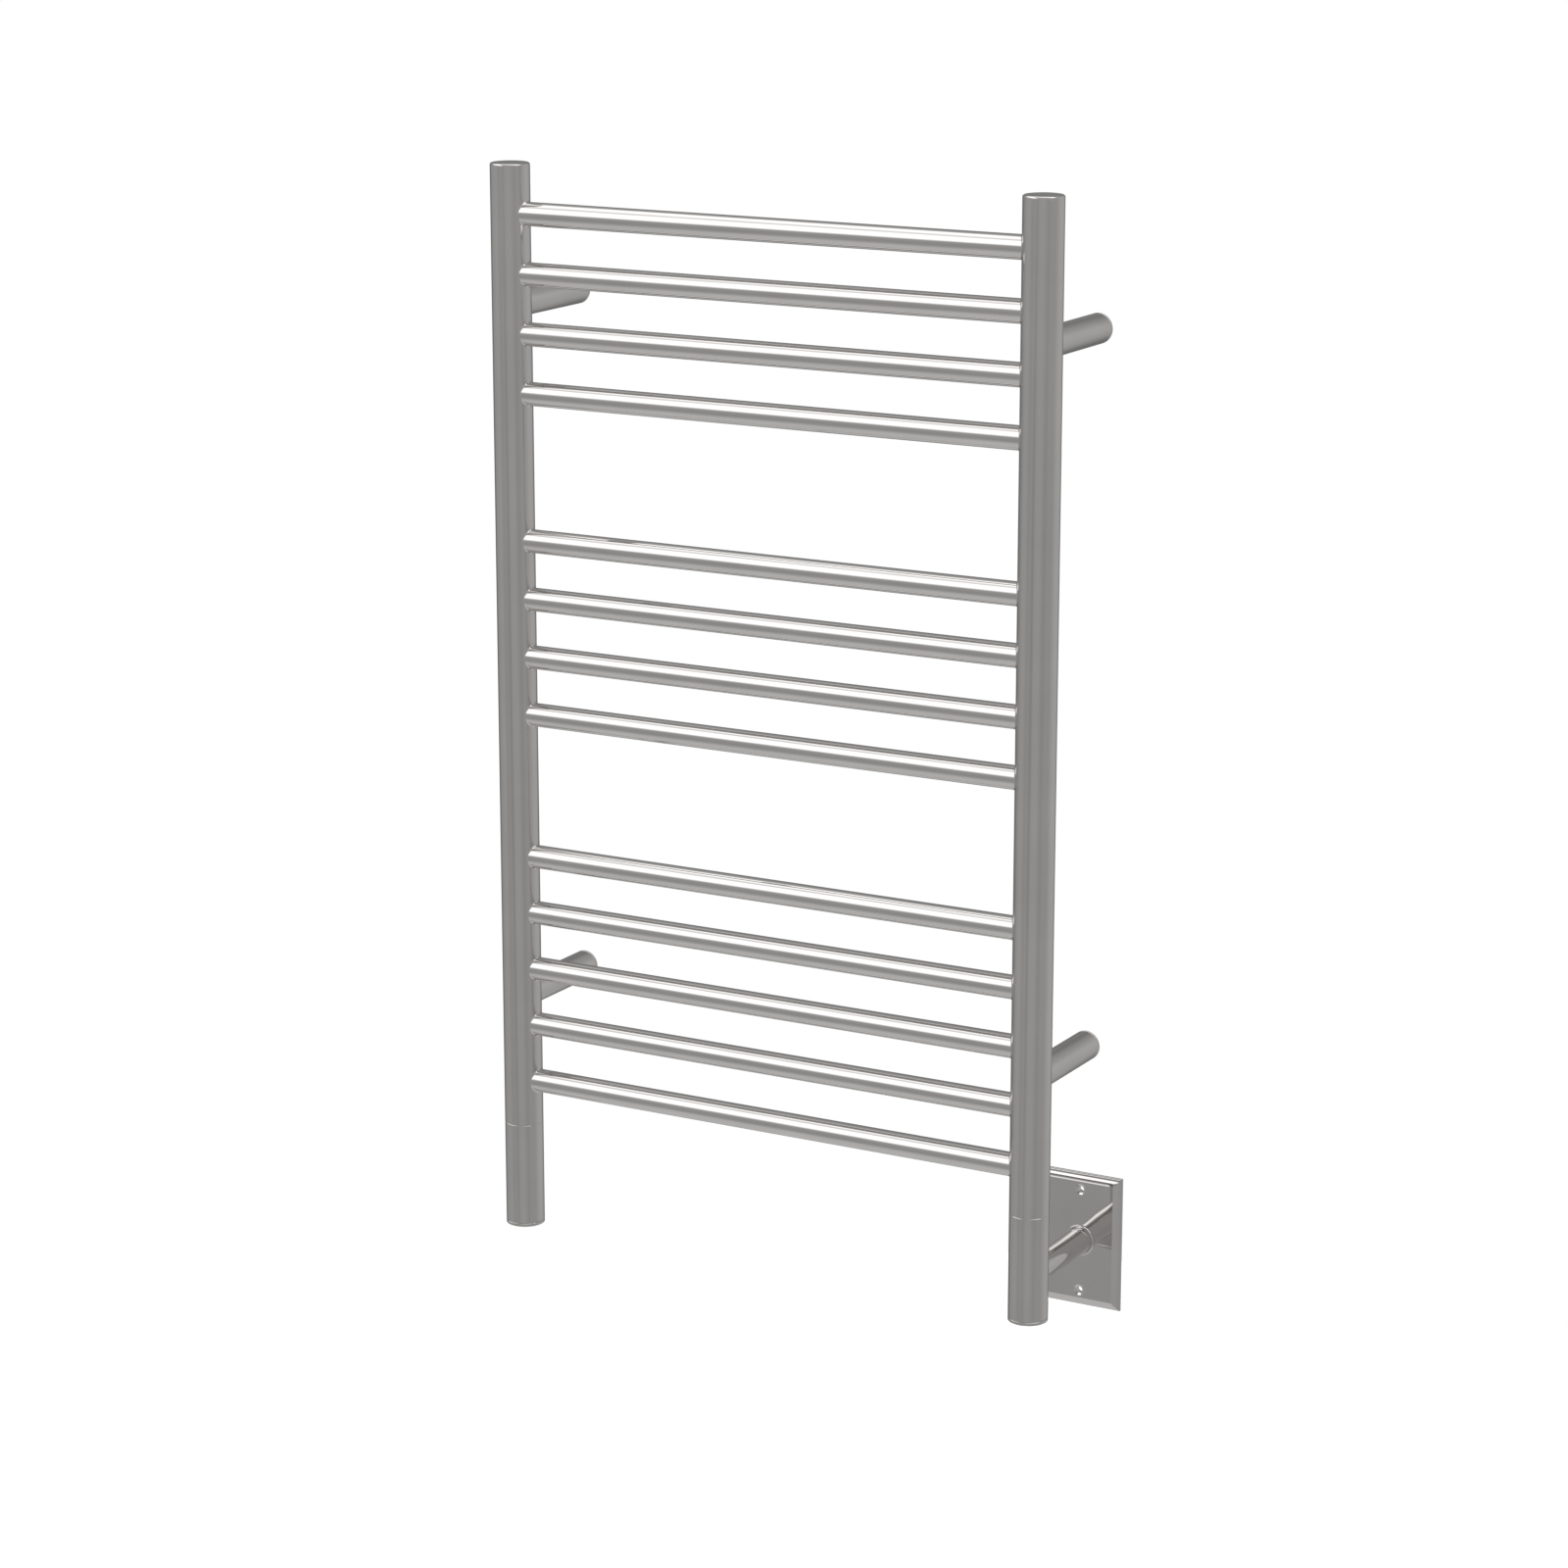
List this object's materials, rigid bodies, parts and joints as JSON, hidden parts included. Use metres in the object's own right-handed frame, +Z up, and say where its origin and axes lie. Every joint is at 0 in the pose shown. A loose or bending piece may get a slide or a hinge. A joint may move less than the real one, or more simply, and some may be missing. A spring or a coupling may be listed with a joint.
{
  "type": "towel warmer rack",
  "caption": "Wall-hung electric towel warmer: round rungs in three groups between two upright tubes, on four wall posts, with a power arm into a bevelled wall plate.",
  "frame": {"origin": "on the wall plane, at the centre of the rectangle of the four wall anchors", "axes": "+X to the right seen from the room, +Y into the wall, +Z up"},
  "size_m": [0.5432, 0.1207, 0.9453],
  "materials": {
    "upright_steel": "polished stainless steel tube",
    "bar_steel": "polished stainless steel tube",
    "post_steel": "polished stainless steel tube",
    "cap_steel": "polished turned stainless steel",
    "plate_steel": "mirror polished stainless steel plate",
    "plain_steel": "plain machined steel",
    "brass": "tinned brass",
    "cable_jacket": "matt silicone jacket",
    "lead_sheath": "matt flexible sheath",
    "black_rubber": "matt moulded rubber",
    "terminal_plastic": "matt moulded plastic",
    "earth_insulation": "satin wire insulation"
  },
  "bodies": {
    "rack": {"arm_grommet": "black_rubber", "bar_01": "bar_steel", "bar_02": "bar_steel", "bar_03": "bar_steel", "bar_04": "bar_steel", "bar_05": "bar_steel", "bar_06": "bar_steel", "bar_07": "bar_steel", "bar_08": "bar_steel", "bar_09": "bar_steel", "bar_10": "bar_steel", "bar_11": "bar_steel", "bar_12": "bar_steel", "bar_13": "bar_steel", "cable_end_seal": "black_rubber", "earth_nut": "plain_steel", "earth_stud": "plain_steel", "earth_tag": "brass", "earth_wire": "earth_insulation", "heating_cable": "cable_jacket", "left_bottom_cap": "cap_steel", "left_joiner": "plain_steel", "left_joiner_screw": "plain_steel", "left_lower_anchor": "cap_steel", "left_lower_post": "post_steel", "left_lower_post_screw": "plain_steel", "left_lower_sleeve": "upright_steel", "left_top_cap": "cap_steel", "left_upper_anchor": "cap_steel", "left_upper_post": "post_steel", "left_upper_post_screw": "plain_steel", "left_upright": "upright_steel", "power_arm": "post_steel", "right_bottom_cap": "cap_steel", "right_joiner": "plain_steel", "right_joiner_screw": "plain_steel", "right_lower_anchor": "cap_steel", "right_lower_post": "post_steel", "right_lower_post_screw": "plain_steel", "right_lower_sleeve": "upright_steel", "right_top_cap": "cap_steel", "right_upper_anchor": "cap_steel", "right_upper_post": "post_steel", "right_upper_post_screw": "plain_steel", "right_upright": "upright_steel", "supply_lead": "lead_sheath", "terminal_block": "terminal_plastic"},
    "plate": {"wall_plate": "plate_steel", "plate_collar": "cap_steel"}
  },
  "joints": [
    {"name": "plate_slide", "type": "slide", "parent": "rack", "child": "plate", "axis": [0, -1, 0], "range_m": [0, 0.078]}
  ]
}
